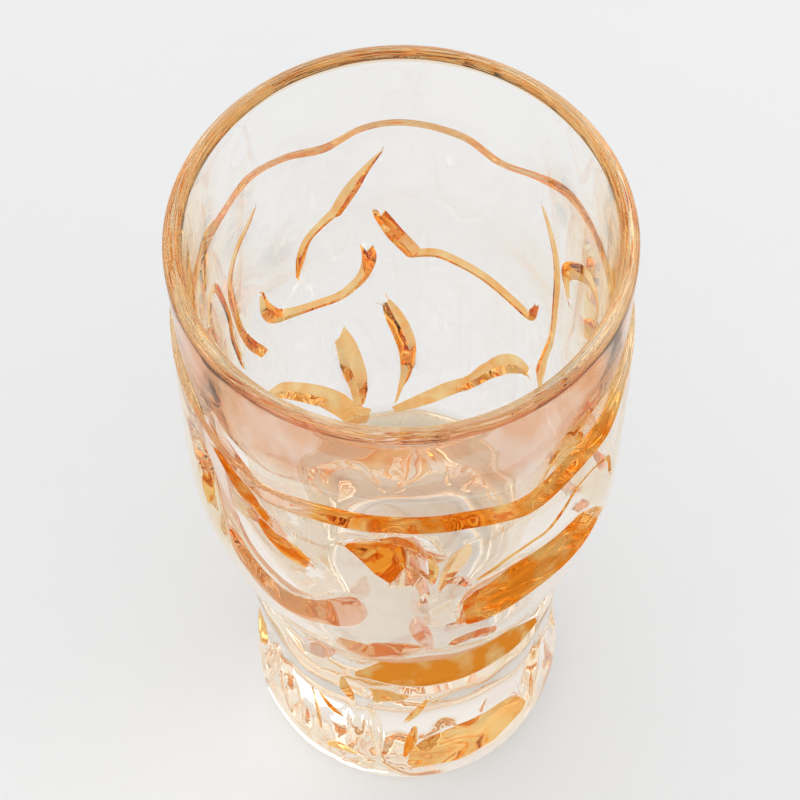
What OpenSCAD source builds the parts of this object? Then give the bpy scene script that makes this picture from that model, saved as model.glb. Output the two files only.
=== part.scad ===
// A pressed shot glass: one body of glass with a rounded lip, a carved bowl and a solid foot.
// Millimetres. +Z is up, the origin is the middle of the flat underside, and the front faces -Y.
// Angles run round the glass in degrees, from the front towards +X.

/* [Size] */
// Height from the underside to the top of the lip
glass_h = 80; // [74:1:88]
// Outer diameter just under the lip
lip_d = 40; // [37:1:44]
// Thickness of the wall at the lip
lip_wall = 1.6; // [1.4:0.1:2]
// Height of the cavity's floor, above solid glass
floor_h = 20; // [18:0.5:24]

/* [Relief] */
// How far the plain band under the lip is set in from the body, at the front
band_step = 1.4; // [1:0.1:1.5]
// Height over which the step out to the body is made
step_h = 0.8; // [0.6:0.1:1.4]
// How deep the carving is, as a share of its drawn depth
carve = 1; // [0.5:0.1:1.1]
// Distance past a stroke's end over which the carving runs out
run_out = 1.5; // [1:0.5:3]

/* [Mesh] */
// Facets round the glass
facets = 96; // [60:12:96]

/* [Hidden] */

lip_r = lip_d / 2;
lip_round = lip_wall / 2;
lip_steps = 6;
bore_r = lip_r - lip_wall;
bore_h = glass_h - lip_round - floor_h;

// The outlines and strokes below are drawn for a glass this high, with this radius at the lip,
// and they stretch with the size of the glass
drawn_h = 80;
drawn_r = 20;
stretch_z = glass_h / drawn_h;
stretch_r = lip_r / drawn_r;

// Outside of the foot, waist and body, without the set-in band: [height, radius]
body_line = [
    [0, 13.8], [0.6, 14.5], [2, 15.2], [5, 15.6], [9, 15.35], [13, 15.1], [17, 15.05], [21, 15.3],
    [23.5, 15.1], [25.5, 14.6], [28, 14.9], [31, 16.1], [35, 17.5], [40, 18.9], [46, 20.1], [52, 20.7],
    [60, 21.1], [66, 21.2], [70, 21.2], [80, 21.4]
];

// How far the band is set in round the glass: [angle, share of band_step].
// Where it is less, the body is that much flatter.
step_in = [
    [0, 1], [52, 1], [70, 0.5], [95, 0.36], [125, 0.57], [180, 0.64], [235, 0.57], [265, 0.36], [290, 0.29],
    [312, 0.36], [328, 0.86], [345, 1], [360, 1]
];
flatter_from = 40;
flatter_over = 20;

// Inside of the cavity from near the middle of the floor up: [share of bore_r, share of bore_h]
bore_line = [
    [0.16, 0.0025], [0.3, 0.0135], [0.41, 0.032], [0.51, 0.058], [0.585, 0.088], [0.645, 0.123],
    [0.69, 0.162], [0.73, 0.203], [0.775, 0.257], [0.835, 0.338], [0.9, 0.47], [0.95, 0.635], [0.985, 0.84]
];

// Height of the step below the band, which waves round the glass: [angle, height]
step_line = [
    [0, 66.4], [14, 66.3], [20, 65.7], [30, 64.8], [40, 66], [48, 67], [75, 67.4], [100, 66.8], [125, 67.9],
    [140, 66.6], [152, 65.8], [162, 67.6], [178, 68.7], [190, 68.4], [201, 66.7], [213, 68], [226, 68.6],
    [240, 67.4], [262, 66.8], [282, 67.6], [300, 67], [320, 65.4], [332, 66.4], [342, 66.8], [360, 66.4]
];

// Carved strokes: [depth as a share of width, distance over which the hollow fades,
// [[angle, height, width], ...]]. The hollow lies on the right of a stroke as it is followed,
// seen from outside. A stroke with no fade is a groove, closed as soon as the facets allow.
strokes = [
    // back of the bowl: an upper curl, a hook below it, and a long bent stroke beside them
    [0.5, 0, [[185, 64.6, 0.3], [190, 62, 1.1], [194, 59.6, 1.8], [199, 56.5, 1.6]]],
    [0.5, 0, [[197.5, 57.2, 1.5], [204, 55.5, 1.2], [208, 54.3, 1.2], [210.5, 52.4, 1.2],
              [212.5, 49.6, 0.5]]],
    [0.5, 0, [[190, 50.2, 1.4], [189.5, 48.4, 1.6], [192.5, 45.8, 1.5], [199, 44, 1.4], [207, 44, 1.3],
              [215.5, 44.7, 1.4], [222.5, 46.1, 1.8], [226, 48.5, 1.6], [226.5, 51, 0.7]]],
    [0.5, 0, [[176, 48.9, 2], [181.5, 51.9, 2], [186, 55.3, 1.5]]],
    [0.5, 0, [[134.5, 48, 0.6], [136.5, 45.8, 1.3], [142, 46, 1.4], [149, 46.8, 1.4], [155.5, 47.7, 1.4],
              [163, 48.6, 1.4], [169.5, 49.2, 1.4], [177, 48.7, 1.2]]],
    // back of the bowl, low down: a crescent, a leaf and a hooked stroke
    [0.4, 0, [[183, 29, 0.6], [179, 31.8, 1.7], [178, 34.9, 2.5], [180, 37.6, 2.5], [183, 40, 2],
              [185, 41.8, 1]]],
    [0.35, 0, [[132, 38.4, 1.2], [137, 38.2, 2.2], [141.5, 37.2, 2.6], [147, 35.2, 2.4],
               [154.5, 32.5, 2], [164.5, 30.4, 1.7], [176, 28.8, 1.4], [184, 28, 1]]],
    [0.35, 0, [[201.5, 38.8, 2], [199.5, 35.5, 3.4], [197.5, 32.5, 3.4], [197, 29.5, 3]]],
    [0.35, 0, [[195, 27.6, 2.2], [201, 28.3, 2.6], [206, 29.9, 2.6], [214, 32.3, 2.4], [221, 34.2, 2.2],
               [228.5, 36.3, 1.8], [235, 37.4, 0.8]]],
    // sides of the bowl: two long upright strokes, each with a hook outside it
    [0.5, 0, [[137, 63.2, 0.3], [134, 61.2, 0.7], [131.5, 59.2, 0.9], [129.5, 57.2, 1], [128, 54.5, 1.1],
              [127, 50.3, 1], [126, 45.7, 0.9], [127, 42.3, 1.1], [127, 40, 1.5], [125.5, 38, 0.6]]],
    [0.4, 0, [[103, 59.5, 0.8], [106, 61, 1.6], [113, 61, 2], [120, 59.2, 2], [124.5, 57, 1.8],
              [122, 54, 0.6]]],
    [0.5, 0, [[224, 64, 0.3], [228, 62.4, 0.8], [233, 61, 1], [236.5, 59.5, 1], [239, 57.4, 1],
              [239.5, 54.4, 0.9], [238.5, 50.7, 0.9], [237, 48.1, 1], [234, 45.3, 1.2], [230.5, 43, 1.2]]],
    // front of the bowl, left: two short ledges over a broad curved one
    [0.8, 1.5, [[-35, 61.2, 0.6], [-38.5, 61.4, 1.4], [-42.5, 62.2, 1.6], [-46.5, 63.1, 1.4],
                [-50, 64, 0.8], [-54, 65, 0.2]]],
    [0.2, 2, [[-29, 61, 0.6], [-33, 61.4, 1.6], [-38, 60.4, 2], [-42, 59.4, 0.8]]],
    [0.8, 1.5, [[-24.5, 56.5, 0.8], [-28.5, 57.2, 1.4], [-32, 57.9, 1.5], [-35.5, 59, 1.2],
                [-38, 60.2, 0.3]]],
    [0.6, 2.5, [[-11.5, 52, 0.8], [-12.5, 49.8, 2], [-16.5, 47.1, 2.8], [-23.5, 45.2, 3],
                [-30, 44.4, 3.2], [-37, 44.8, 3.2], [-43.5, 46.3, 2.6], [-49, 48.6, 1.8], [-52, 51.5, 0.5]]],
    [0.3, 2, [[-62, 64, 0.6], [-60.5, 62, 2], [-59, 59, 3], [-57, 55, 3], [-54, 51.5, 2.2], [-52, 49, 0.6]]],
    [0.3, 0, [[-64, 55, 0.5], [-63, 53, 1.4], [-61.5, 51, 0.5]]],
    // front of the bowl, middle: a drop and a fork
    [0.8, 3, [[-2, 57.4, 1.6], [-4, 59.4, 2.7], [-7, 61, 2.3], [-10.5, 62.2, 1.3], [-14, 63.2, 0.3]]],
    [0.5, 2, [[1.4, 60.2, 0.8], [0.6, 62.4, 1.6], [-2.5, 64.3, 1.1], [-6, 65, 0.3]]],
    [0.4, 0, [[0.8, 64.6, 1.4], [2.2, 62, 1.4], [3, 58.5, 1.4], [4.5, 54, 0.8]]],
    [0.3, 0, [[14.4, 63, 0.6], [13, 61.4, 1.8], [10.5, 58.6, 1.6], [8, 55, 0.4]]],
    [0.2, 0, [[9.5, 56.2, 0.6], [12.5, 56.4, 1.4], [15.5, 54.4, 0.5]]],
    // front of the bowl, right: a broad ledge, and the thin upper edge of its hollow
    [0.85, 8, [[57, 50, 2.2], [52.5, 49, 2.6], [44, 48.4, 2.7], [37, 48, 2.8], [31, 47.6, 2.8],
               [25, 46.9, 2.6], [19.5, 46.4, 2.5], [15.5, 46.4, 1.9]]],
    [0.3, 0, [[12.5, 38.8, 0.8], [16.5, 40.6, 3], [21, 40.4, 3], [25, 38, 0.8]]],
    // lower edge of the bowl, front and back
    [0.5, 3, [[3.5, 39.6, 0.8], [-1, 38, 2.6], [-5, 36.4, 3.2], [-9, 35.4, 3.5], [-13, 34.8, 3.5],
              [-17, 36, 2.8], [-20, 38.5, 1]]],
    [0.2, 0, [[2.5, 49.2, 1], [3, 46.5, 1.8], [5, 42, 1.4], [6.5, 38.4, 0.6]]],
    [0.6, 3, [[58, 23.4, 0.4], [47, 24, 1.3], [39, 24.2, 1.8], [32, 24.3, 2.1], [24, 24.5, 2.4],
              [16, 24.6, 2.6], [6, 24.8, 2.7], [-3, 24.9, 2.5], [-9, 24.8, 1.9], [-14.5, 24.6, 1],
              [-20, 24.3, 0.3]]],
    [0.2, 3, [[245, 26, 0.8], [225, 26.8, 3], [205, 26.6, 4], [180, 26.6, 4.6], [150, 26.8, 3.4],
              [125, 26, 0.8]]],
    [0.3, 1, [[-28, 29, 0.5], [-31, 26.6, 1.4], [-35, 25.5, 1.8], [-40, 24.6, 0.8]]],
    // front of the foot: a broad facet low on the right, and small facets round to the left
    [0.03, 1, [[51, 7.4, 0.8], [45, 8.3, 4], [38, 9, 6.4], [28, 9, 6.8], [16, 8.6, 6.6], [8, 7.6, 5],
               [1, 5.6, 1]]],
    [0.3, 0, [[-1.5, 7.5, 0.3], [0.8, 10.5, 1.2], [2.5, 14, 0.5]]],
    [0.2, 0, [[0, 21.9, 0.4], [-3, 21.5, 1.4], [-8, 21.5, 2.4], [-14, 21.2, 2.8]]],
    [0.3, 0, [[-24.5, 23.2, 0.5], [-23, 20.8, 1.4], [-21, 18.6, 0.4]]],
    [0.15, 1, [[-32, 5.8, 0.5], [-27, 6.8, 2], [-20, 6.6, 0.8]]],
    [0.1, 1, [[-84, 8, 1.6], [-80, 12, 3.6], [-77, 17, 2]]]
];
groove_fade = 1.4;

// Notches in the foot: [angle at mid height, how far each end leans from it]
notches = [
    [-62, 5], [-48, -4], [-13, -1.5], [59, 4], [82, -5], [108, 6], [131, -4], [156, 5], [182, -6], [205, 4],
    [229, -5], [250, 5]
];
notch_top = 19;
notch_foot = 7.5;
notch_w = 1.6;
notch_tip = 0.3;
notch_share = 0.4;
notch_fade = 2;

function clamp(x) = min(max(x, 0), 1);
function ease(x) = let (t = clamp(x)) t * t * (3 - 2 * t);

// A smooth curve through a table of [x, y], read at x
function slope_at(table, i) =
    let (a = table[max(i - 1, 0)], b = table[min(i + 1, len(table) - 1)])
    (b.y - a.y) / (b.x - a.x);
function span_at(table, x, i = 0) =
    i >= len(table) - 2 || x < table[i + 1].x ? i : span_at(table, x, i + 1);
function curve(table, x) =
    let (
        i = span_at(table, x),
        a = table[i],
        b = table[i + 1],
        run = b.x - a.x,
        t = clamp((x - a.x) / run)
    )
    (1 + 2 * t) * (1 - t) * (1 - t) * a.y + t * t * (3 - 2 * t) * b.y
        + run * slope_at(table, i) * t * (1 - t) * (1 - t)
        - run * slope_at(table, i + 1) * t * t * (1 - t);

function body_r(z) = stretch_r * curve(body_line, z / stretch_z);
function step_z(angle) = stretch_z * curve(step_line, (angle + 720) % 360);

// Angle a, moved by whole turns to lie within half a turn of b
function near_angle(a, b) = b + (a - b + 900) % 360 - 180;

// From a point p to a segment a-b, both [x, y, width]: [distance, side, width there, distance past its ends]
function to_segment(p, a, b) =
    let (
        run = [b.x - a.x, b.y - a.y],
        off = [p.x - a.x, p.y - a.y],
        along = (off * run) / (run * run),
        t = clamp(along),
        side = run.x * off.y < run.y * off.x ? 1 : -1
    )
    [norm(off - t * run), side, a[2] + t * (b[2] - a[2]), abs(along - t) * norm(run)];
function nearest(found) =
    let (least = min([for (f = found) f[0]]))
    [for (f = found) if (f[0] == least) f][0];

// Depth that one stroke takes off the outside at an angle and height
function stroke_cut(stroke, angle, z) =
    let (
        share = stroke[0],
        fade = max(stroke[1], groove_fade),
        line = [for (q = stroke[2]) [q.x * body_r(z) * PI / 180, q.y * stretch_z, q[2]]],
        reach = fade + 6,
        low = min([for (q = line) q.y]) - reach,
        high = max([for (q = line) q.y]) + reach
    )
    z < low || z > high ? 0 :
    let (
        p = [near_angle(angle, stroke[2][0].x) * body_r(z) * PI / 180, z],
        hit = nearest([for (i = [0 : len(line) - 2]) to_segment(p, line[i], line[i + 1])]),
        width = hit[2],
        across = hit[0] * hit[1]
    )
    carve * share * width * ease(across / width + 0.5) * (1 - ease((across - width / 2) / fade))
        * (1 - ease(hit[3] / run_out));

function notch_stroke(n) =
    let (upper = (2 * notch_top + notch_foot) / 3, lower = (notch_top + 2 * notch_foot) / 3)
    [notch_share, notch_fade, [[n[0] + n[1], notch_top, notch_tip], [n[0] + n[1] / 3, upper, notch_w],
                               [n[0] - n[1] / 3, lower, notch_w], [n[0] - n[1], notch_foot, notch_tip]]];
all_strokes = concat(strokes, [for (n = notches) notch_stroke(n)]);

function carved(angle, z) = max([for (s = all_strokes) stroke_cut(s, angle, z)]);
function outer_r(angle, z) =
    let (
        set_in = ease((z - step_z(angle)) / step_h + 0.5),
        less = 1 - curve(step_in, (angle + 720) % 360),
        flatter = less * ease((z / stretch_z - flatter_from) / flatter_over)
    )
    body_r(z) - band_step * (set_in + flatter * (1 - set_in)) - carved(angle, z);

// Rings up the outside are closest together at the step, where they follow its wave
step_mean = 67.2 * stretch_z;
wave_reach = 9;
ring_heights = concat(
    [0, 0.6, 1.4, 2.8],
    [for (i = [0 : 10]) 4.6 + 1.7 * i],
    [for (i = [0 : 20]) 23.3 + 2 * i],
    [for (i = [0 : 6]) 65.4 + 0.6 * i],
    [for (i = [0 : 3]) 70.4 + 2.9 * i]
);
function ring_z(angle, height) =
    let (z = height * stretch_z, wave = step_z(angle) - step_mean)
    z + wave * (1 - ease(abs(z - step_mean) / wave_reach));

function ring_point(angle, r, z) = [r * sin(angle), -r * cos(angle), z];
angles = [for (i = [0 : facets - 1]) 360 * i / facets];

outer_rings = [
    for (height = ring_heights)
    [for (a = angles) let (z = ring_z(a, height)) ring_point(a, outer_r(a, z), z)]
];
lip_rings = [
    for (i = [1 : lip_steps])
    let (
        turn = 180 * i / lip_steps,
        r = lip_r - lip_round * (1 - cos(turn)),
        z = glass_h - lip_round * (1 - sin(turn))
    )
    [for (a = angles) ring_point(a, r, z)]
];
bore_rings = [
    for (i = [len(bore_line) - 1 : -1 : 0])
    [for (a = angles) ring_point(a, bore_r * bore_line[i].x, floor_h + bore_h * bore_line[i].y)]
];

// A closed skin of triangles over a stack of rings, with one point at each end
module skin(rings, bottom, top) {
    n = len(rings[0]);
    points = concat([bottom], [for (ring = rings) each ring], [top]);
    last = len(points) - 1;
    function at(ring, i) = 1 + ring * n + i % n;
    faces = concat(
        [for (i = [0 : n - 1]) [0, at(0, i), at(0, i + 1)]],
        [for (k = [0 : len(rings) - 2], i = [0 : n - 1]) each [
            [at(k, i), at(k + 1, i), at(k + 1, i + 1)],
            [at(k, i), at(k + 1, i + 1), at(k, i + 1)]
        ]],
        [for (i = [0 : n - 1]) [last, at(len(rings) - 1, i + 1), at(len(rings) - 1, i)]]
    );
    polyhedron(points, faces, convexity = 6);
}

module glass() {
    color([0.93, 0.74, 0.5])
        skin(concat(outer_rings, lip_rings, bore_rings), [0, 0, 0], [0, 0, floor_h]);
}

glass();
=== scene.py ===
"""A pressed shot glass with an amber lustre, on a plain pale floor."""
import math
import bmesh
import bpy
import numpy as np
from mathutils import Matrix, Vector
from mathutils.geometry import delaunay_2d_cdt


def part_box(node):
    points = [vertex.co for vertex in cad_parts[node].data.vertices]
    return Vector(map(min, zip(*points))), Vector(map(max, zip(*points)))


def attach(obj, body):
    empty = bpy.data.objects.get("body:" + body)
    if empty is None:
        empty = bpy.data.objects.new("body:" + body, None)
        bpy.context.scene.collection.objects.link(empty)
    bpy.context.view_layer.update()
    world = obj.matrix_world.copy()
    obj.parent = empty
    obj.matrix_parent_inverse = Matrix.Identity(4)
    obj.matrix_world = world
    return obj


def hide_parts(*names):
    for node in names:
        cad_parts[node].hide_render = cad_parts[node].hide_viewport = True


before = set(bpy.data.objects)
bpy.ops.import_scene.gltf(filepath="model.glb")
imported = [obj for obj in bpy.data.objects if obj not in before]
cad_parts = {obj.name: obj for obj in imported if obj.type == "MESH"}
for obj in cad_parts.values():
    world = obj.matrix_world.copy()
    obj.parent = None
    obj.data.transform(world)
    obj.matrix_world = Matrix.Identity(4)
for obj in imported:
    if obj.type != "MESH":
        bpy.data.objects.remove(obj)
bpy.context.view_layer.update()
MM = 0.001

# Lengths are in millimetres, except in the scene at the end, which is in metres. Angles run round the
# glass in degrees, from the front towards +X.

# ---------------------------------------------------------------- size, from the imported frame
low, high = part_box("glass")
GLASS_H = (high[2] - low[2]) / MM
LIP_R = 20.0
LIP_WALL = 1.6
LIP_ROUND = LIP_WALL / 2
FLOOR_H = 20.0                    # height of the cavity's floor
TOP = GLASS_H - LIP_ROUND         # where the lip starts to round over
BORE_R = LIP_R - LIP_WALL
BORE_H = TOP - FLOOR_H

# ---------------------------------------------------------------- the outlines
# Outside of the foot, waist and body, without the set-in band: (height, radius)
BODY_LINE = [
    (0, 13.8), (0.6, 14.5), (2, 15.2), (5, 15.6), (9, 15.35), (13, 15.1), (17, 15.05), (21, 15.3),
    (23.5, 15.1), (25.5, 14.6), (28, 14.9), (31, 16.1), (35, 17.5), (40, 18.9), (46, 20.1), (52, 20.7),
    (60, 21.1), (66, 21.2), (70, 21.2), (80, 21.4),
]

# How far the band is set in: (angle, depth). Where it is less than BAND_STEP, the body is flatter.
STEP_IN = [
    (0, 1.4), (52, 1.4), (70, 0.7), (95, 0.5), (125, 0.8), (180, 0.9), (235, 0.8), (265, 0.5),
    (290, 0.4), (312, 0.5), (328, 1.2), (345, 1.4), (360, 1.4),
]
BAND_STEP = 1.4                   # the most that the band is set in
FLATTER_FROM = 40.0
FLATTER_OVER = 20.0

# Inside of the cavity, from the middle of the floor up: (share of BORE_R, share of BORE_H)
BORE_LINE = [
    (0.16, 0.0025), (0.3, 0.0135), (0.41, 0.032), (0.51, 0.058), (0.585, 0.088), (0.645, 0.123),
    (0.69, 0.162), (0.73, 0.203), (0.775, 0.257), (0.835, 0.338), (0.9, 0.47), (0.95, 0.635),
    (0.985, 0.84), (1, 1),
]
BORE_ROWS = 48                    # rings of faces down the cavity

# Height of the step below the band, which waves round the glass: (angle, height)
STEP_LINE = [
    (0, 66.4), (14, 66.3), (20, 65.7), (30, 64.8), (40, 66), (48, 67), (75, 67.4), (100, 66.8),
    (125, 67.9), (140, 66.6), (152, 65.8), (162, 67.6), (178, 68.7), (190, 68.4), (201, 66.7),
    (213, 68), (226, 68.6), (240, 67.4), (262, 66.8), (282, 67.6), (300, 67), (320, 65.4), (332, 66.4),
    (342, 66.8), (360, 66.4),
]
STEP_H = 0.4                      # height over which the step is made

# The slow unevenness of pressed glass: its height, and its waves, each as
# (waves round the glass, lean, start, share). It fades out at the foot and under the lip.
RIPPLE = 0.04
WAVES = [(5, 0.16, 0, 1), (9, -0.31, 1, 1), (17, 0.23, 2, 0.7)]
RIPPLE_TOP = 72.0
RIPPLE_FADE = 6.0

# ---------------------------------------------------------------- the carving
# Carved strokes: (depth as a share of the width, fade, amber, flush, [(angle, height, width), ...]).
# A stroke with no fade is a V groove. Any other is a ledge, with a hollow on the right of the stroke
# as it is followed, seen from outside, which fades out over that many millimetres. Amber and flush say
# how strongly those two colours of the lustre show on it, from 0 to 1.
STROKES = [
    # back of the bowl: an upper curl, a hook below it, and a long bent stroke beside them
    (0.5, 0, 0.34, 0, [(185, 64.6, 0.3), (190, 62, 1.1), (194, 59.6, 1.8), (199, 56.5, 1.6)]),
    (0.5, 0, 0.34, 0, [
        (197.5, 57.2, 1.5), (204, 55.5, 1.2), (208, 54.3, 1.2), (210.5, 52.4, 1.2), (212.5, 49.6, 0.5),
    ]),
    (0.5, 0, 0.34, 0, [
        (190, 50.2, 1.4), (189.5, 48.4, 1.6), (192.5, 45.8, 1.5), (199, 44, 1.4), (207, 44, 1.3),
        (215.5, 44.7, 1.4), (222.5, 46.1, 1.8), (226, 48.5, 1.6), (226.5, 51, 0.7),
    ]),
    (0.5, 0, 0.34, 0, [(176, 48.9, 2), (181.5, 51.9, 2), (186, 55.3, 1.5)]),
    (0.5, 0, 0.34, 0, [
        (134.5, 48, 0.6), (136.5, 45.8, 1.3), (142, 46, 1.4), (149, 46.8, 1.4), (155.5, 47.7, 1.4),
        (163, 48.6, 1.4), (169.5, 49.2, 1.4), (177, 48.7, 1.2),
    ]),
    # back of the bowl, low down: a crescent, a leaf and a hooked stroke
    (0.4, 0, 0.36, 0, [
        (183, 29, 0.6), (179, 31.8, 1.7), (178, 34.9, 2.5), (180, 37.6, 2.5), (183, 40, 2),
        (185, 41.8, 1),
    ]),
    (0.35, 0, 0.36, 0, [
        (132, 38.4, 1.2), (137, 38.2, 2.2), (141.5, 37.2, 2.6), (147, 35.2, 2.4), (154.5, 32.5, 2),
        (164.5, 30.4, 1.7), (176, 28.8, 1.4), (184, 28, 1),
    ]),
    (0.35, 0, 0.36, 0, [(201.5, 38.8, 2), (199.5, 35.5, 3.4), (197.5, 32.5, 3.4), (197, 29.5, 3)]),
    (0.35, 0, 0.36, 0, [
        (195, 27.6, 2.2), (201, 28.3, 2.6), (206, 29.9, 2.6), (214, 32.3, 2.4), (221, 34.2, 2.2),
        (228.5, 36.3, 1.8), (235, 37.4, 0.8),
    ]),
    # sides of the bowl: two long upright strokes, each with a hook outside it
    (0.5, 0, 0.34, 0, [
        (137, 63.2, 0.3), (134, 61.2, 0.7), (131.5, 59.2, 0.9), (129.5, 57.2, 1), (128, 54.5, 1.1),
        (127, 50.3, 1), (126, 45.7, 0.9), (127, 42.3, 1.1), (127, 40, 1.5), (125.5, 38, 0.6),
    ]),
    (0.4, 0, 0.34, 0, [
        (103, 59.5, 0.8), (106, 61, 1.6), (113, 61, 2), (120, 59.2, 2), (124.5, 57, 1.8),
        (122, 54, 0.6),
    ]),
    (0.5, 0, 0.34, 0, [
        (224, 64, 0.3), (228, 62.4, 0.8), (233, 61, 1), (236.5, 59.5, 1), (239, 57.4, 1),
        (239.5, 54.4, 0.9), (238.5, 50.7, 0.9), (237, 48.1, 1), (234, 45.3, 1.2), (230.5, 43, 1.2),
    ]),
    (0.5, 0, 0.34, 0, [
        (255, 58.5, 0.8), (252, 60.4, 1), (247, 60.6, 1), (244, 57.4, 0.8), (242.5, 53.4, 0.7),
        (243, 50.7, 0.7), (242, 47.1, 0.6), (241.5, 45, 0.3),
    ]),
    # front of the bowl, left: two short ledges and a flat patch over a broad curved ledge, and two marks
    # further round
    (0.8, 1.5, 0.8, 0, [
        (-35, 61.2, 0.6), (-38.5, 61.4, 1.4), (-42.5, 62.2, 1.6), (-46.5, 63.1, 1.4), (-50, 64, 0.8),
        (-54, 65, 0.2),
    ]),
    (0.2, 2, 0, 0.7, [(-29, 61, 0.6), (-33, 61.4, 1.6), (-38, 60.4, 2), (-42, 59.4, 0.8)]),
    (0.8, 1.5, 0.9, 0, [
        (-24.5, 56.5, 0.8), (-28.5, 57.2, 1.4), (-32, 57.9, 1.5), (-35.5, 59, 1.2), (-38, 60.2, 0.3),
    ]),
    (0.6, 2.5, 0.02, 1, [
        (-11.5, 52, 0.8), (-12.5, 49.8, 2), (-16.5, 47.1, 2.8), (-23.5, 45.2, 3), (-30, 44.4, 3.2),
        (-37, 44.8, 3.2), (-43.5, 46.3, 2.6), (-49, 48.6, 1.8), (-52, 51.5, 0.5),
    ]),
    (0.3, 2, 0, 0.6, [
        (-62, 64, 0.6), (-60.5, 62, 2), (-59, 59, 3), (-57, 55, 3), (-54, 51.5, 2.2), (-52, 49, 0.6),
    ]),
    (0.3, 0, 0.2, 0, [(-64, 55, 0.5), (-63, 53, 1.4), (-61.5, 51, 0.5)]),
    # front of the bowl, middle: a drop, a fork and small marks
    (0.8, 3, 0.95, 0, [
        (-2, 57.4, 1.6), (-4, 59.4, 2.7), (-7, 61, 2.3), (-10.5, 62.2, 1.3), (-14, 63.2, 0.3),
    ]),
    (0.5, 2, 0.4, 0, [(1.4, 60.2, 0.8), (0.6, 62.4, 1.6), (-2.5, 64.3, 1.1), (-6, 65, 0.3)]),
    (0.4, 0, 0, 0.85, [(0.8, 64.6, 1.4), (2.2, 62, 1.4), (3, 58.5, 1.4), (4.5, 54, 0.8)]),
    (0.4, 0, 0.25, 0.6, [(5.6, 61.6, 0.3), (6.5, 59.3, 0.9), (6.2, 56.4, 0.4)]),
    (0.3, 0, 0.15, 0, [(14.4, 63, 0.6), (13, 61.4, 1.8), (10.5, 58.6, 1.6), (8, 55, 0.4)]),
    (0.2, 0, 0, 0.7, [(9.5, 56.2, 0.6), (12.5, 56.4, 1.4), (15.5, 54.4, 0.5)]),
    # front of the bowl, right: a broad ledge, and the thin upper edge of its hollow
    (0.85, 8, 0.8, 0, [
        (57, 50, 2.2), (52.5, 49, 2.6), (44, 48.4, 2.7), (37, 48, 2.8), (31, 47.6, 2.8),
        (25, 46.9, 2.6), (19.5, 46.4, 2.5), (15.5, 46.4, 1.9),
    ]),
    (0.4, 0, 0.3, 0.2, [
        (17, 55.4, 0.4), (20.5, 56.4, 0.6), (25.5, 57.8, 0.6), (31, 58.8, 0.6), (35, 59.3, 0.6),
        (39.5, 61.2, 0.6), (43.5, 63.2, 0.5), (48.5, 64, 0.4), (53.5, 63.2, 0.4), (57.5, 61.2, 0.6),
        (62, 55.5, 0.8),
    ]),
    (0.3, 0, 0, 0.9, [(12.5, 38.8, 0.8), (16.5, 40.6, 3), (21, 40.4, 3), (25, 38, 0.8)]),
    # lower edge of the bowl, front and back
    (0.5, 3, 0.04, 0.9, [
        (3.5, 39.6, 0.8), (-1, 38, 2.6), (-5, 36.4, 3.2), (-9, 35.4, 3.5), (-13, 34.8, 3.5),
        (-17, 36, 2.8), (-20, 38.5, 1),
    ]),
    (0.2, 0, 0, 0.75, [(2.5, 49.2, 1), (3, 46.5, 1.8), (5, 42, 1.4), (6.5, 38.4, 0.6)]),
    (0.6, 3, 0.8, 0, [
        (58, 23.4, 0.4), (47, 24, 1.3), (39, 24.2, 1.8), (32, 24.3, 2.1), (24, 24.5, 2.4),
        (16, 24.6, 2.6), (6, 24.8, 2.7), (-3, 24.9, 2.5), (-9, 24.8, 1.9), (-14.5, 24.6, 1),
        (-20, 24.3, 0.3),
    ]),
    (0.2, 3, 0, 0, [
        (245, 26, 0.8), (225, 26.8, 3), (205, 26.6, 4), (180, 26.6, 4.6), (150, 26.8, 3.4),
        (125, 26, 0.8),
    ]),
    (0.3, 1, 0, 0.8, [(-28, 29, 0.5), (-31, 26.6, 1.4), (-35, 25.5, 1.8), (-40, 24.6, 0.8)]),
    # front of the foot: a broad facet low on the right, and small facets round to the left
    (0.02, 1, 0.3, 0, [
        (51, 7.4, 0.8), (45, 8.3, 4), (38, 9, 6.4), (28, 9, 6.8), (16, 8.6, 6.6), (8, 7.6, 5),
        (1, 5.6, 1),
    ]),
    (0.3, 0, 0.7, 0, [(-1.5, 7.5, 0.3), (0.8, 10.5, 1.2), (2.5, 14, 0.5)]),
    (0.3, 0, 0.35, 0, [(-0.8, 15.4, 0.5), (2.5, 17.2, 1), (7, 20.6, 0.4)]),
    (0.2, 0, 0.3, 0.2, [(0, 21.9, 0.4), (-3, 21.5, 1.4), (-8, 21.5, 2.4), (-14, 21.2, 2.8)]),
    (0.3, 0, 0.5, 0.2, [(-24.5, 23.2, 0.5), (-23, 20.8, 1.4), (-21, 18.6, 0.4)]),
    (0.3, 0, 0.6, 0, [(-35.5, 16.6, 0.4), (-30, 14.3, 0.9), (-25.5, 13.6, 0.3)]),
    (0.15, 1, 0.25, 0, [(-32, 5.8, 0.5), (-27, 6.8, 2), (-20, 6.6, 0.8)]),
    (0.3, 0, 0.15, 0, [(-39, 16.5, 0.3), (-37, 12, 0.6), (-35.5, 8.4, 0.4)]),
    (0.1, 1, 0.25, 0, [(-84, 8, 1.6), (-80, 12, 3.6), (-77, 17, 2)]),
]

# Notches in the foot: (angle at mid height, how far each end leans from it)
NOTCHES = [
    (-62, 5), (-48, -4), (-13, -1.5), (59, 4), (82, -5), (108, 6), (131, -4), (156, 5), (182, -6),
    (205, 4), (229, -5), (250, 5),
]
NOTCH_TOP = 19.0
NOTCH_FOOT = 7.5
NOTCH_W = 1.6
NOTCH_TIP = 0.3
NOTCH_SHARE = 0.4
NOTCH_FADE = 2.0
NOTCH_AMBER = 0.05

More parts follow.
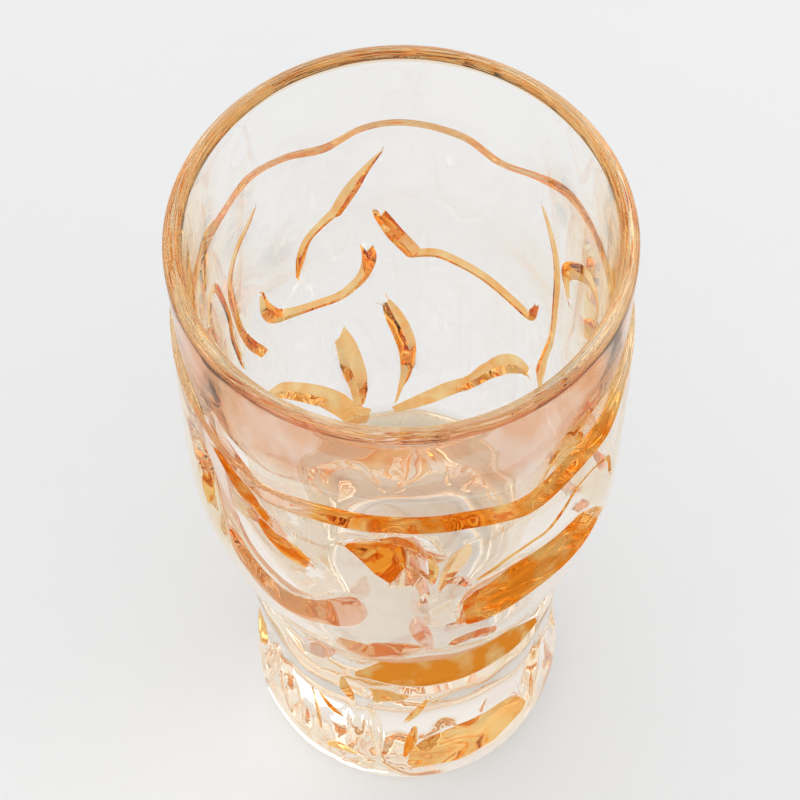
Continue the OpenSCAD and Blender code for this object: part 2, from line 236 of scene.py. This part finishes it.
VALLEY = 0.4          # where a groove is deepest, from one side to the other
LEDGE_END = 1.2       # distance past a ledge's end over which it runs out
GROOVE_END = 0.3      # and past a groove's end
FINE = 0.35           # spacing of the points along a stroke
THINNEST = 0.15       # least width of a stroke
TURN_PER_MM = 5.0     # more degrees than a millimetre takes anywhere round the glass

# ---------------------------------------------------------------- where the lustre lies
# How deep the amber is on the step: (angle, share)
STEP_AMBER = [
    (0, 0.75), (56, 0.65), (68, 0.08), (110, 0.12), (180, 0.16), (250, 0.12), (285, 0.01), (336, 0.01),
    (342, 0.6), (350, 0.75), (360, 0.75),
]
STEP_FLUSH = 0.6      # how flushed the step is at the front, where it isn't amber

# How amber, flushed and coated each ring of faces is, in the cavity and over the lip from outside to inside
PLAIN = (0.0, 0.0, 0.0)
LIP_PAINT = 4 * [(0.0, 0.05, 0.0)] + 3 * [PLAIN] + 5 * [(0.08, 0.0, 0.0)]

# How strongly the outside is coated, on the band and below it
BAND_FROM = 70.0
BAND_COAT = 0.05
BODY_COAT = 0.5

# The front is where the cosine of the angle is above FRONT_EDGE, and it is full FRONT_FADE above that
FRONT_EDGE = 0.05
FRONT_FADE = 0.7

# The cream wash, at the front and on the foot
WASH_FRONT = 0.4
WASH_FOOT = 0.1
WASH_FOOT_TOP = 21.0
WASH_FADE = 6.0

# The peach haze on the band: close under the lip, and lower down, where it is stronger to each side
LIP_HAZE = 0.9
LIP_HAZE_FROM = 75.2
LIP_HAZE_FADE = 1.2
BAND_HAZE = 0.25
SIDE_HAZE = 0.55
SIDE_FROM = 8.0
SIDE_FADE = 20.0
HAZE_FROM = 68.0
HAZE_FADE = 4.0


def ease(x):
    """0 below 0, 1 above 1, and a smooth rise between."""
    t = np.clip(x, 0, 1)
    return t * t * (3 - 2 * t)


def curve(table, x):
    """A smooth curve through a table of (x, y), read at every x."""
    xs, ys = np.array(table, dtype=float).T
    before = np.maximum(np.arange(len(xs)) - 1, 0)
    after = np.minimum(np.arange(len(xs)) + 1, len(xs) - 1)
    slopes = (ys[after] - ys[before]) / (xs[after] - xs[before])
    i = np.clip(np.searchsorted(xs, x, side="right") - 1, 0, len(xs) - 2)
    run = xs[i + 1] - xs[i]
    t = np.clip((x - xs[i]) / run, 0, 1)
    return (
        (1 + 2 * t) * (1 - t) ** 2 * ys[i]
        + t * t * (3 - 2 * t) * ys[i + 1]
        + run * slopes[i] * t * (1 - t) ** 2
        - run * slopes[i + 1] * t * t * (1 - t)
    )


def body_r(z):
    """Radius of the body's outline at each height."""
    return curve(BODY_LINE, z)


def step_z(angle):
    """Height of the step at each angle."""
    return curve(STEP_LINE, np.mod(angle, 360))


def notch_stroke(middle, lean):
    """A notch in the foot, as a stroke."""
    upper = (2 * NOTCH_TOP + NOTCH_FOOT) / 3
    lower = (NOTCH_TOP + 2 * NOTCH_FOOT) / 3
    return (NOTCH_SHARE, NOTCH_FADE, NOTCH_AMBER, 0, [
        (middle + lean, NOTCH_TOP, NOTCH_TIP),
        (middle + lean / 3, upper, NOTCH_W),
        (middle - lean / 3, lower, NOTCH_W),
        (middle - lean, NOTCH_FOOT, NOTCH_TIP),
    ])


def round_and_up(line):
    """Distance round the body, and height, of each point of a stroke."""
    return np.c_[np.radians(line[:, 0]) * body_r(line[:, 1]), line[:, 1]]


def across_stroke(line):
    """The direction across a stroke at each of its points, to its right, as distance round and up."""
    run = np.gradient(round_and_up(line), axis=0)
    run /= np.hypot(*run.T)[:, None]
    return np.c_[run[:, 1], -run[:, 0]]


def smoothed(stroke):
    """The stroke with its centre line made a smooth curve of closely spaced points."""
    points = np.array(stroke[-1], dtype=float)
    reach = np.r_[0, np.cumsum(np.hypot(*np.diff(round_and_up(points), axis=0).T))]
    at = np.linspace(0, reach[-1], int(reach[-1] / FINE) + 3)
    line = np.column_stack([curve(np.c_[reach, column], at) for column in points.T])
    line[:, 2] = np.maximum(line[:, 2], THINNEST)
    return stroke[:-1] + (line,)


ALL_STROKES = [smoothed(stroke) for stroke in STROKES + [notch_stroke(*notch) for notch in NOTCHES]]


def stroke_cut(stroke, angle, z):
    """How far one stroke cuts in at each angle and height."""
    share, fade, _, _, line = stroke
    depth = np.zeros_like(z)
    reach = fade + line[:, 2].max() + LEDGE_END
    swing = TURN_PER_MM * reach
    turn = np.mod(angle - line[0, 0] + 180, 360) - 180 + line[0, 0]
    near = (z > line[:, 1].min() - reach) & (z < line[:, 1].max() + reach)
    near &= (turn > line[:, 0].min() - swing) & (turn < line[:, 0].max() + swing)
    if not near.any():
        return depth
    zn = z[near]
    per_degree = np.radians(body_r(zn))
    x = turn[near] * per_degree
    best = np.full(len(zn), np.inf)
    side = np.zeros(len(zn))
    width = np.ones(len(zn))
    past = np.zeros(len(zn))
    for a, b in zip(line[:-1], line[1:]):
        run_x = (b[0] - a[0]) * per_degree
        run_z = b[1] - a[1]
        off_x = x - a[0] * per_degree
        off_z = zn - a[1]
        along = (off_x * run_x + off_z * run_z) / (run_x ** 2 + run_z ** 2)
        t = np.clip(along, 0, 1)
        gap = np.hypot(off_x - t * run_x, off_z - t * run_z)
        closer = gap < best
        best = np.where(closer, gap, best)
        side = np.where(closer, np.where(run_x * off_z < run_z * off_x, 1, -1), side)
        width = np.where(closer, a[2] + t * (b[2] - a[2]), width)
        past = np.where(closer, np.abs(along - t) * np.hypot(run_x, run_z), past)
    across = best * side / width + 0.5
    if fade:
        cut = ease(across) * (1 - ease((across - 1) * width / fade))
        end = LEDGE_END
    else:
        cut = np.clip(np.minimum(across / VALLEY, (1 - across) / (1 - VALLEY)), 0, 1)
        end = GROOVE_END
    depth[near] = share * width * cut * (1 - ease(past / end))
    return depth


def ripple(angle, z):
    """The slow unevenness of pressed glass."""
    around = np.radians(angle)
    waves = sum(share * np.sin(turns * around + lean * z + start) for turns, lean, start, share in WAVES)
    return RIPPLE * waves * ease(z / RIPPLE_FADE) * (1 - ease((z - RIPPLE_TOP) / RIPPLE_FADE))


def outer_r(angle, z):
    """Radius of the outside at each angle and height."""
    cut = np.max([stroke_cut(stroke, angle, z) for stroke in ALL_STROKES], axis=0)
    step = ease((z - step_z(angle)) / STEP_H + 0.5)
    less = BAND_STEP - curve(STEP_IN, np.mod(angle, 360))
    flatter = less * ease((z - FLATTER_FROM) / FLATTER_OVER) * (1 - step)
    return body_r(z) - BAND_STEP * step - flatter - cut + ripple(angle, z)


# ---------------------------------------------------------------- the mesh
SEAM = -98.0                      # the angle at which the unrolled outside is joined
ROUND = 288                       # points round the lip, cavity and underside
GRID = 0.7                        # spacing of the plain parts of the outside
ROW = GRID * 0.866                # spacing of the grid's rows, for even triangles
CELL = GRID * 0.6                 # cells that keep the grid away from the strokes' points
UPRIGHT = 0.4                     # spacing of the points up the seam
PER_DEGREE = math.radians(LIP_R)  # how long a degree is when the outside is unrolled
CLOSE = 1e-4                      # closer than this counts as on an end or on the seam
MERGE = 1e-5                      # points closer than this become one
SHARP = math.radians(28)          # an edge bent more than this is crisp

# Lines of points beside a stroke's centre line, as (share of the width, distance beyond that)
LEDGE_LINES = [(-0.25, 0), (0, 0), (0.25, 0), (0.5, 0.3), (0.5, 0.8)]
GROOVE_LINES = [(VALLEY - 0.5, 0)]
EDGE_LINES = [(-0.5, -0.12), (0.5, 0.12)]


class Unrolled:
    """The outside, unrolled flat, as points, lines and outlines to be joined up by triangles."""

    def __init__(self):
        self.points = []
        self.edges = []
        self.outlines = []

    def add(self, angles, heights, joined=True):
        """Adds points, joined up as a line unless told not to, and returns their numbers."""
        first = len(self.points)
        self.points.extend(Vector((a * PER_DEGREE, h)) for a, h in zip(angles, heights))
        if joined:
            self.edges.extend((i, i + 1) for i in range(first, len(self.points) - 1))
        return list(range(first, len(self.points)))

    def cells(self, angles, heights):
        """The cells of a coarse grid that the points fall in."""
        return np.round(np.c_[angles * PER_DEGREE, heights] / CELL).astype(int)

    def free(self, angles, heights):
        """Which of these points are away from every line added so far."""
        flat = np.array(self.points)
        taken = {(a + i, b + j) for a, b in self.cells(flat[:, 0] / PER_DEGREE, flat[:, 1])
                 for i in (-1, 0, 1) for j in (-1, 0, 1)}
        return np.array([(a, b) not in taken for a, b in self.cells(angles, heights)])


def add_strokes(flat):
    """Adds each stroke's outline, and the lines that its hollow or valley needs."""
    for stroke in ALL_STROKES:
        _, fade, _, _, line = stroke
        aside = across_stroke(line) / np.c_[np.radians(body_r(line[:, 1])), np.ones(len(line))]
        middle = np.mod(line[len(line) // 2, 0] - SEAM, 360) + SEAM
        angle = line[:, 0] + middle - line[len(line) // 2, 0]

        def beside(part, extra=0.0):
            gap = part * line[:, 2] + extra
            return angle + aside[:, 0] * gap, line[:, 1] + aside[:, 1] * gap

        left = flat.add(*beside(-0.5))
        right = flat.add(*beside(0.5))
        flat.outlines.append(right + left[::-1])
        for part, extra in (LEDGE_LINES if fade else GROOVE_LINES) + EDGE_LINES:
            flat.add(*beside(part, extra))


def add_step(flat):
    """Adds the step's outline, and the lines above, below and inside it."""
    turns = np.linspace(SEAM, SEAM + 360, int(360 * PER_DEGREE / FINE))
    rows = [flat.add(turns, step_z(turns) + part * STEP_H) for part in (-0.5, -0.25, 0, 0.25, 0.5)]
    flat.outlines.append(rows[0] + rows[-1][::-1])
    for part in (-1, 1):
        flat.add(turns, step_z(turns) + part * STEP_H)


def add_grid(flat):
    """Fills the plain parts with an even grid of points, every other row half a space along."""
    count = int(360 * PER_DEGREE / GRID)
    rows = []
    for i, z in enumerate(np.arange(GRID, TOP - GRID / 2, ROW)):
        angles = SEAM + 360 * (np.arange(1, count) + 0.5 * (i % 2) - 0.25) / count
        rows.append(np.c_[angles, np.full(len(angles), z)])
    grid = np.concatenate(rows)
    flat.add(*grid[flat.free(*grid.T)].T, joined=False)


def outside_mesh():
    """Angles, heights and triangles of the outside, which outlines hold each triangle, and its two ends."""
    flat = Unrolled()
    around = SEAM + 360 * np.arange(ROUND + 1) / ROUND
    upright = np.linspace(0, TOP, int(TOP / UPRIGHT) + 1)
    flat.add(around, np.zeros(ROUND + 1))
    flat.add(around, np.full(ROUND + 1, TOP))
    flat.add(np.full(len(upright), SEAM), upright)
    flat.add(np.full(len(upright), SEAM + 360), upright)
    add_strokes(flat)
    add_step(flat)
    add_grid(flat)
    inside_outlines = 1
    points, _, triangles, _, _, held = delaunay_2d_cdt(
        flat.points, flat.edges, flat.outlines, inside_outlines, MERGE)
    points = np.array(points)
    angle = points[:, 0] / PER_DEGREE
    z = points[:, 1]
    # the right side of the unrolled outside is joined to its left side
    left = np.flatnonzero(angle < SEAM + CLOSE)
    right = np.flatnonzero(angle > SEAM + 360 - CLOSE)
    same = np.arange(len(points))
    same[right[np.argsort(z[right])]] = left[np.argsort(z[left])]
    kept = same == np.arange(len(points))
    foot = np.flatnonzero(kept & (z < CLOSE))
    foot = foot[np.argsort(angle[foot])]
    top = np.flatnonzero(kept & (z > TOP - CLOSE))
    top = top[np.argsort(angle[top])]
    return angle, z, same[np.array(triangles)], held, foot, top


def frontness(angle):
    """1 over the front and 0 over the back."""
    return ease((np.cos(np.radians(angle)) - FRONT_EDGE) / FRONT_FADE)


def lustre(angle, triangles, held):
    """How amber and how flushed each triangle of the outside is."""
    amber = np.zeros(len(triangles))
    flush = np.zeros(len(triangles))
    on_step = curve(STEP_AMBER, np.mod(angle[triangles[:, 0]], 360))
    step_flush = STEP_FLUSH * frontness(angle[triangles[:, 0]])
    for i, ids in enumerate(held):
        for k in ids:
            if k < len(ALL_STROKES):
                amber[i] = max(amber[i], ALL_STROKES[k][2])
                flush[i] = max(flush[i], ALL_STROKES[k][3])
            else:
                amber[i] = max(amber[i], on_step[i])
                flush[i] = max(flush[i], step_flush[i])
    return amber, flush


def cream_wash(angle, z):
    """How creamy the plain outside is."""
    return WASH_FRONT * frontness(angle) + WASH_FOOT * (1 - ease((z - WASH_FOOT_TOP) / WASH_FADE))


def band_haze(angle, z):
    """How hazy with lustre the band is."""
    turn = np.mod(angle + 180, 360) - 180
    aside = ease((abs(turn) - SIDE_FROM) / SIDE_FADE)
    near_lip = LIP_HAZE * ease((z - LIP_HAZE_FROM) / LIP_HAZE_FADE)
    lower = (BAND_HAZE + SIDE_HAZE * aside) * ease((z - HAZE_FROM) / HAZE_FADE)
    return frontness(angle) * np.maximum(near_lip, lower)


def ring(angle, r, z):
    """Points at an angle, radius and height."""
    turn = np.radians(angle)
    return np.c_[r * np.sin(turn), -r * np.cos(turn), np.broadcast_to(z, turn.shape)]


def lip_and_cavity():
    """Rings over the lip and down the cavity, each as (radius, height, paint of the faces before it)."""
    profile = []
    for i, paint in enumerate(LIP_PAINT):
        turn = math.pi * (i + 1) / len(LIP_PAINT)
        height = GLASS_H - LIP_ROUND * (1 - math.sin(turn))
        profile.append((LIP_R - LIP_ROUND * (1 - math.cos(turn)), height, paint))
    # the cavity's outline is followed by its length, so that the floor's corner stays round
    line = np.array(BORE_LINE)
    length = np.r_[0, np.cumsum(np.hypot(*np.diff(line * [BORE_R, BORE_H], axis=0).T))]
    length /= length[-1]
    steps = np.linspace(1, 0, BORE_ROWS + 1)[1:]
    across, up = (curve(np.c_[length, shares], steps) for shares in line.T)
    for x, y in zip(across, up):
        profile.append((BORE_R * x, FLOOR_H + BORE_H * y, PLAIN))
    return profile


def glass_mesh():
    """The whole glass, with what the material needs to know stored on its faces and points."""
    angle, z, triangles, held, foot, top = outside_mesh()
    profile = lip_and_cavity()
    around = SEAM + 360 * np.arange(ROUND) / ROUND
    base = len(angle)
    cavity_floor = base + len(profile) * ROUND
    underside = cavity_floor + 1
    points = [ring(angle, outer_r(angle, z), z)]
    points += [ring(around, radius, height) for radius, height, _ in profile]
    points.append([[0, 0, FLOOR_H], [0, 0, 0]])

    faces = [tuple(t) for t in triangles]
    coat = np.where(z[triangles].mean(axis=1) > BAND_FROM, BAND_COAT, BODY_COAT)
    painted = list(zip(*lustre(angle, triangles, held), coat))
    rows = [list(top)]
    rows += [list(range(base + k * ROUND, base + (k + 1) * ROUND)) for k in range(len(profile))]
    for i in range(ROUND):
        j = (i + 1) % ROUND
        for under, over, (_, _, paint) in zip(rows[:-1], rows[1:], profile):
            faces.append((under[i], under[j], over[j], over[i]))
            painted.append(paint)
        faces.append((rows[-1][i], rows[-1][j], cavity_floor))
        faces.append((foot[j], foot[i], underside))
        painted.extend((PLAIN, PLAIN))

    mesh = bpy.data.meshes.new("glass")
    mesh.from_pydata((np.concatenate(points) * MM).tolist(), [], faces)
    amber, flush, coat = np.array(painted).T
    bare = np.zeros(underside + 1 - base)
    layers = [
        ("amber", "FACE", amber),
        ("flush", "FACE", flush),
        ("coat", "FACE", coat),
        ("haze", "POINT", np.r_[band_haze(angle, z), bare]),
        ("wash", "POINT", np.r_[cream_wash(angle, z), bare]),
    ]
    for name, domain, values in layers:
        layer = mesh.attributes.new(name, "FLOAT", domain)
        layer.data.foreach_set("value", values.astype(np.float32))
    bm = bmesh.new()
    bm.from_mesh(mesh)
    bmesh.ops.delete(bm, geom=[v for v in bm.verts if not v.link_faces], context="VERTS")
    bm.to_mesh(mesh)
    bm.free()
    mesh.shade_smooth()
    mesh.set_sharp_from_angle(angle=SHARP)
    return mesh


# ---------------------------------------------------------------- materials
class Nodes:
    """A short way to write a material's node tree."""

    def __init__(self, name):
        self.material = bpy.data.materials.new(name)
        self.material.use_nodes = True
        self.tree = self.material.node_tree
        self.tree.nodes.clear()

    def feed(self, socket, value):
        """Links an output into a socket, or sets the socket to a plain value."""
        if isinstance(value, bpy.types.NodeSocket):
            self.tree.links.new(value, socket)
        else:
            socket.default_value = value

    def add(self, kind, inputs=(), **settings):
        """Adds a shader node with these inputs and settings."""
        node = self.tree.nodes.new("ShaderNode" + kind)
        for key, value in settings.items():
            setattr(node, key, value)
        for key, value in dict(inputs).items():
            self.feed(node.inputs[key], value)
        return node

    def math(self, operation, *values, clamp=False):
        """The result of a sum on one or two values."""
        node = self.add("Math", dict(enumerate(values)), operation=operation, use_clamp=clamp)
        return node.outputs[0]

    def ranged(self, value, low, high, to_low, to_high):
        """The value moved from one range to another, and kept inside it."""
        ends = {"From Min": low, "From Max": high, "To Min": to_low, "To Max": to_high}
        return self.add("MapRange", {"Value": value, **ends}).outputs[0]

    def noise(self, place, scale, detail, distortion=0.0):
        """Smooth noise between 0 and 1."""
        inputs = {"Vector": place, "Scale": scale, "Detail": detail, "Distortion": distortion}
        return self.add("TexNoise", inputs).outputs["Fac"]

    def mix(self, factor, a, b):
        """Colour a where the factor is 0, b where it is 1, and between them between."""
        node = self.add("Mix", data_type="RGBA")
        # the colour mix's own factor, first colour and second colour
        for socket, value in ((node.inputs[0], factor), (node.inputs[6], a), (node.inputs[7], b)):
            self.feed(socket, value)
        return node.outputs[2]


CLEAR = (1, 0.997, 0.992, 1)
CREAM = (1, 0.91, 0.81, 1)
GOLDEN = (0.98, 0.88, 0.68, 1)        # the lustre, where light turns back inside the glass
# painted refraction: gold painted on the uncoated inside wall, for the lustre seen through it
PAINTED_REFRACTION_GOLD = (1, 0.9, 0.72, 1)         # the lustre seen through the inside wall, at a slant
HAZE = (0.93, 0.6, 0.42, 1)
PEACH = (0.92, 0.56, 0.42, 1)
AMBER = (0.97, 0.73, 0.35, 1)
BURNT = (0.95, 0.36, 0.04, 1)
SHADOW_TINT = (0.985, 0.98, 0.97, 1)
GLASS_IOR = 1.5

# Layer Weight facing at which the lustre starts to show inside the glass, and at which light turns back
NEAR_TURN = 0.2
FULL_TURN = 0.255
# and at which the lustre behind, painted on the inside wall as a refraction, starts to show, and shows in
# full
SLANT_FROM = 0.6
SLANT_FULL = 0.95

# Upright patches and level streaks in the lustre: how they are stretched, how fine they are, and how far
# they vary it each way. The streaks are also bent.
PATCH_STRETCH = (1, 1, 0.35)
PATCH_SCALE = 450.0
PATCH_VARY = 0.6
STREAK_STRETCH = (0.5, 0.5, 2)
STREAK_SCALE = 900.0
STREAK_VARY = 0.35
STREAK_BEND = 0.6
NOISE_LOW = 0.35
NOISE_HIGH = 0.65
# The haze and the flush are this strong on average, and vary with a share of the patches
UNEVEN_MEAN = 0.95
UNEVEN_SHARE = 0.4
AMBER_SHOWN = 5.0                     # amber above 1 / 5 hides the clear glass


def amber_glass():
    """Clear glass, tinted by the lustre on its surface."""
    n = Nodes("amber_glass")
    names = ("amber", "flush", "coat", "haze", "wash")
    amount = {name: n.add("Attribute", attribute_name=name).outputs["Fac"] for name in names}
    facing = n.add("LayerWeight", {"Blend": 0.5}).outputs["Facing"]
    inside = n.add("NewGeometry").outputs["Backfacing"]
    place = n.add("TexCoord").outputs["Object"]
    upright = n.add("Mapping", {"Vector": place, "Scale": PATCH_STRETCH}).outputs[0]
    level = n.add("Mapping", {"Vector": place, "Scale": STREAK_STRETCH}).outputs[0]
    patches = n.noise(upright, PATCH_SCALE, 1.0)
    streaks = n.noise(level, STREAK_SCALE, 2.0, STREAK_BEND)
    patchy = n.ranged(patches, NOISE_LOW, NOISE_HIGH, -PATCH_VARY, PATCH_VARY)
    streaky = n.ranged(streaks, NOISE_LOW, NOISE_HIGH, -STREAK_VARY, STREAK_VARY)
    # inside the glass, the coated outside is golden where light turns back
    turned = n.math("MULTIPLY", n.ranged(facing, NEAR_TURN, FULL_TURN, 0, 1), inside)
    turned = n.math("MULTIPLY", turned, amount["coat"])
    colour = n.mix(turned, n.mix(amount["wash"], CLEAR, CREAM), GOLDEN)
    # painted refraction: the uncoated inside wall is tinted with the lustre behind it where it is seen at a
    # slant
    outside = n.math("SUBTRACT", 1.0, inside)
    painted_refraction = n.math("MULTIPLY", n.ranged(facing, SLANT_FROM, SLANT_FULL, 0, 1), outside)
    painted_refraction = n.math("MULTIPLY", painted_refraction, n.ranged(amount["coat"], 0, BAND_COAT, 1, 0))
    colour = n.mix(painted_refraction, colour, PAINTED_REFRACTION_GOLD)
    uneven = n.math("ADD", n.math("MULTIPLY", patchy, UNEVEN_SHARE), UNEVEN_MEAN)
    colour = n.mix(n.math("MULTIPLY", amount["haze"], uneven, clamp=True), colour, HAZE)
    colour = n.mix(n.math("MULTIPLY", amount["flush"], uneven, clamp=True), colour, PEACH)
    vary = n.math("ADD", n.math("ADD", patchy, streaky), 1.0)
    deep = n.math("MULTIPLY", amount["amber"], vary, clamp=True)
    shown = n.math("MULTIPLY", amount["amber"], AMBER_SHOWN, clamp=True)
    colour = n.mix(shown, colour, n.mix(deep, AMBER, BURNT))
    glass = n.add("BsdfGlass", {"Color": colour, "Roughness": 0.0, "IOR": GLASS_IOR})
    # lamps shine straight through, so the glass casts a faint shadow
    lamp = n.add("BsdfTransparent", {"Color": SHADOW_TINT})
    shadow = n.add("LightPath").outputs["Is Shadow Ray"]
    both = n.add("MixShader", {0: shadow, 1: glass.outputs[0], 2: lamp.outputs[0]})
    n.add("OutputMaterial", {"Surface": both.outputs[0]})
    return n.material


FLOOR_DARK = (0.8, 0.805, 0.81, 1)
FLOOR_LIGHT = (0.82, 0.825, 0.83, 1)
FLOOR_GRAIN = 40.0
# painted light: a lighter disc of floor under the foot, where the glass leaves shade; its colour, radius
# and soft edge
UNDERFOOT_PAINTED_LIGHT = (0.97, 0.96, 0.95, 1)
UNDERFOOT_LIGHT_R = 13.5
UNDERFOOT_LIGHT_EDGE = 0.5


def pale_floor():
    """A matt pale floor, with painted light hidden under the foot to keep the glass's bottom bright."""
    n = Nodes("pale_floor")
    place = n.add("TexCoord").outputs["Object"]
    colour = n.mix(n.noise(place, FLOOR_GRAIN, 3.0), FLOOR_DARK, FLOOR_LIGHT)
    out = n.add("VectorMath", {0: place}, operation="LENGTH").outputs["Value"]
    # painted light: the floor is lighter inside a disc under the foot, in place of the glass's shade
    painted_light = n.ranged(out, (UNDERFOOT_LIGHT_R - UNDERFOOT_LIGHT_EDGE) * MM, UNDERFOOT_LIGHT_R * MM, 1, 0)
    colour = n.mix(painted_light, colour, UNDERFOOT_PAINTED_LIGHT)
    matte = n.add("BsdfPrincipled", {"Base Color": colour, "Roughness": 0.8, "Specular IOR Level": 0.0})
    n.add("OutputMaterial", {"Surface": matte.outputs[0]})
    return n.material


# ---------------------------------------------------------------- the object
def build_glass():
    """The one visible piece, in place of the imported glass."""
    glass = bpy.data.objects.new("amber_shot_glass", glass_mesh())
    bpy.context.collection.objects.link(glass)
    glass.data.materials.append(amber_glass())
    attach(glass, "root")
    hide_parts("glass")


# ---------------------------------------------------------------- the scene, in metres
AIM = (-0.0003, 0.0, 0.05266)         # the point on the glass at the middle of the picture
DISTANCE = 0.2737
ELEVATION = 59.376
ROLL = -0.915
LENS = 135.0
SENSOR = 36.0
CLIP_START = 0.01

FLOOR_REACH = 3.0
FLOOR_GAP = 0.00002

KEY_PLACE = (0.45, 0.35, 0.6)
KEY_SIZE = 0.4
KEY_POWER = 1.0
WALL_LIGHT = 1.4                      # strength of the white studio low down round its walls
CEILING_LIGHT = 0.76
BOUNCES = 24
GLOSSY_BOUNCES = 16


def make_camera():
    """A long lens that looks down at the front of the glass."""
    camera = bpy.data.objects.new("camera", bpy.data.cameras.new("camera"))
    bpy.context.collection.objects.link(camera)
    tilt = math.radians(ELEVATION)
    back = Vector((0, -math.cos(tilt), math.sin(tilt)))
    pitch = Matrix.Rotation(math.radians(90 - ELEVATION), 4, "X")
    roll = Matrix.Rotation(math.radians(ROLL), 4, "Z")
    camera.matrix_world = Matrix.Translation(Vector(AIM) + DISTANCE * back) @ (pitch @ roll)
    camera.data.lens = LENS
    camera.data.sensor_width = SENSOR
    camera.data.clip_start = CLIP_START
    bpy.context.scene.camera = camera


def make_floor():
    """A floor just under the glass, reaching far past the picture."""
    mesh = bpy.data.meshes.new("floor")
    x = FLOOR_REACH
    z = low[2] - FLOOR_GAP
    mesh.from_pydata([(-x, -x, z), (x, -x, z), (x, x, z), (-x, x, z)], [], [(0, 1, 2, 3)])
    floor = bpy.data.objects.new("floor", mesh)
    bpy.context.collection.objects.link(floor)
    mesh.materials.append(pale_floor())


def make_lamp():
    """One square softbox, which gives the faint shadow its direction."""
    lamp = bpy.data.lights.new("key", "AREA")
    lamp.shape = "RECTANGLE"
    lamp.size = KEY_SIZE
    lamp.size_y = KEY_SIZE
    lamp.energy = KEY_POWER
    box = bpy.data.objects.new("key", lamp)
    bpy.context.collection.objects.link(box)
    box.location = KEY_PLACE
    towards = Vector((0, 0, GLASS_H / 2 * MM)) - Vector(KEY_PLACE)
    box.rotation_euler = towards.to_track_quat("-Z", "Y").to_euler()


def make_studio():
    """A white studio, brightest low down round its walls, and the render's colours and bounces."""
    world = bpy.data.worlds.new("studio")
    world.use_nodes = True
    nodes = world.node_tree.nodes
    links = world.node_tree.links
    place = nodes.new("ShaderNodeTexCoord")
    split = nodes.new("ShaderNodeSeparateXYZ")
    fall = nodes.new("ShaderNodeMapRange")
    fall.inputs["To Min"].default_value = WALL_LIGHT
    fall.inputs["To Max"].default_value = CEILING_LIGHT
    links.new(place.outputs["Generated"], split.inputs[0])
    links.new(split.outputs["Z"], fall.inputs["Value"])
    links.new(fall.outputs[0], nodes["Background"].inputs["Strength"])
    nodes["Background"].inputs["Color"].default_value = (1.0, 1.0, 1.0, 1)
    # the studio's light comes through the glass by refraction alone, so nothing is lit twice
    world.cycles.sampling_method = "NONE"
    bpy.context.scene.world = world
    bpy.context.scene.view_settings.view_transform = "Standard"
    bpy.context.scene.cycles.max_bounces = BOUNCES
    bpy.context.scene.cycles.transmission_bounces = BOUNCES
    bpy.context.scene.cycles.glossy_bounces = GLOSSY_BOUNCES


make_camera()
build_glass()
make_floor()
make_studio()
make_lamp()
